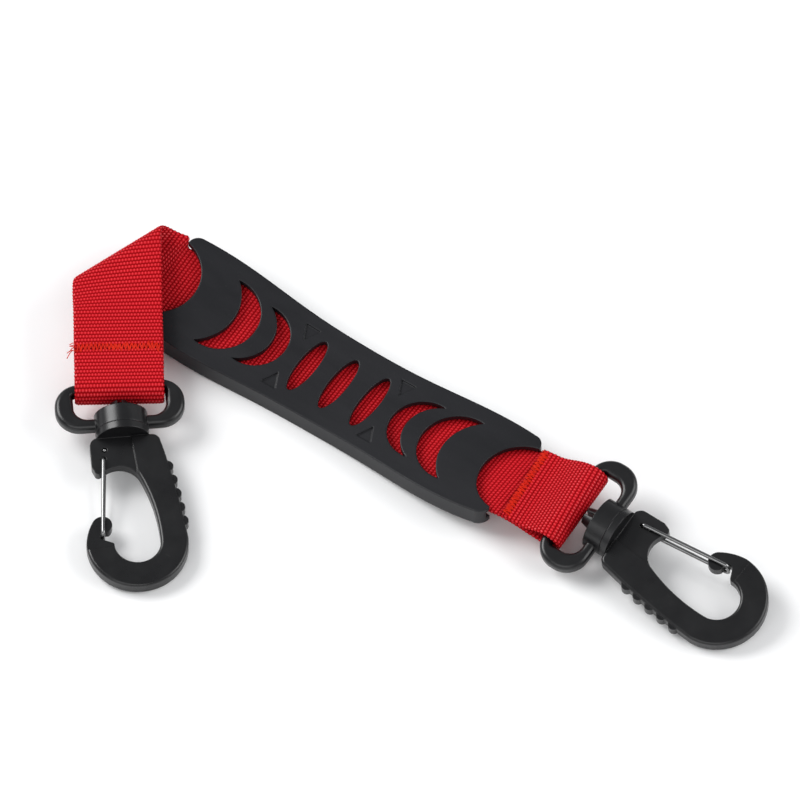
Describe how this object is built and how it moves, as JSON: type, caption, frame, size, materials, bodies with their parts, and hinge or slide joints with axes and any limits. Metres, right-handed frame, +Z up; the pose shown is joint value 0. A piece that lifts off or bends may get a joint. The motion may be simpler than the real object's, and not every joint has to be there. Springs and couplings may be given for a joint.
{
  "type": "carry strap",
  "caption": "Red webbing carry strap with a black moulded grip sleeve and a black plastic swivel snap hook with a wire gate sewn on at each end.",
  "frame": {"origin": "on the table under the middle of the grip sleeve", "axes": "+X along the grip towards the right hook, +Y across the grip and away from the left hook, +Z up from the table"},
  "size_m": [0.2262, 0.1124, 0.018],
  "materials": {
    "moulded_plastic": "semi-gloss black moulded plastic with a fine grain",
    "grip_rubber": "soft satin black",
    "webbing": "plain-woven red polyester webbing",
    "thread": "orange-red sewing thread",
    "spring_wire": "bright drawn steel wire"
  },
  "bodies": {
    "strap": {"strap_run": "webbing", "strap_tab": "webbing", "stitching_right": "thread", "strap_fold": "webbing", "strap_neck": "webbing"},
    "grip": {"grip_sleeve": "grip_rubber"},
    "left_leg": {"strap_leg": "webbing", "stitching_left": "thread"},
    "left_ring": {"ring_left": "moulded_plastic"},
    "left_hook": {"hook_left": "moulded_plastic"},
    "left_gate": {"gate_left": "spring_wire"},
    "right_loop": {"strap_loop": "webbing"},
    "right_ring": {"ring_right": "moulded_plastic"},
    "right_hook": {"hook_right": "moulded_plastic"},
    "right_gate": {"gate_right": "spring_wire"}
  },
  "joints": [
    {"name": "grip_slide", "type": "slide", "parent": "strap", "child": "grip", "axis": [1, 0, 0], "range_m": [-0.0004, 0.0002]},
    {"name": "left_fold", "type": "hinge", "parent": "strap", "child": "left_leg", "pos_m": [-0.0707, 0.00018, 0.01336], "axis": [-0.3501, -0.9328, -0.0851], "range_deg": [0, 120], "deforming": ["strap_fold"]},
    {"name": "right_neck", "type": "hinge", "parent": "strap", "child": "right_loop", "pos_m": [0.068, 0.00163, 0.0084], "axis": [0.1328, -0.9884, -0.0744], "range_deg": [-20, 60], "deforming": ["strap_neck"]},
    {"name": "left_ring_tilt", "type": "hinge", "parent": "left_leg", "child": "left_ring", "pos_m": [-0.04947, -0.03909, 0.00946], "axis": [0.7604, 0.6494, 0], "range_deg": [-90, 90]},
    {"name": "left_swivel", "type": "hinge", "parent": "left_ring", "child": "left_hook", "pos_m": [-0.04205, -0.04778, 0.0082], "axis": [0.6455, -0.7558, -0.1097], "continuous": true},
    {"name": "left_gate", "type": "hinge", "parent": "left_hook", "child": "left_gate", "pos_m": [-0.03982, -0.0594, 0.00706], "axis": [0.0713, -0.0834, 0.994], "range_deg": [0, 26], "stiffness_Nm_per_rad": 0.02, "deforming": ["gate_left"]},
    {"name": "right_ring_tilt", "type": "hinge", "parent": "right_loop", "child": "right_ring", "pos_m": [0.0798, 0.0025, 0.00902], "axis": [-0.0006, -0.98, -0.1989], "range_deg": [-90, 90]},
    {"name": "right_swivel", "type": "hinge", "parent": "right_ring", "child": "right_hook", "pos_m": [0.09127, 0.00266, 0.0082], "axis": [0.9973, 0.0139, -0.0715], "continuous": true},
    {"name": "right_gate", "type": "hinge", "parent": "right_hook", "child": "right_gate", "pos_m": [0.1016, 0.00854, 0.00862], "axis": [-0.0728, 0.1984, -0.9774], "range_deg": [0, 26], "stiffness_Nm_per_rad": 0.02, "deforming": ["gate_right"]}
  ]
}
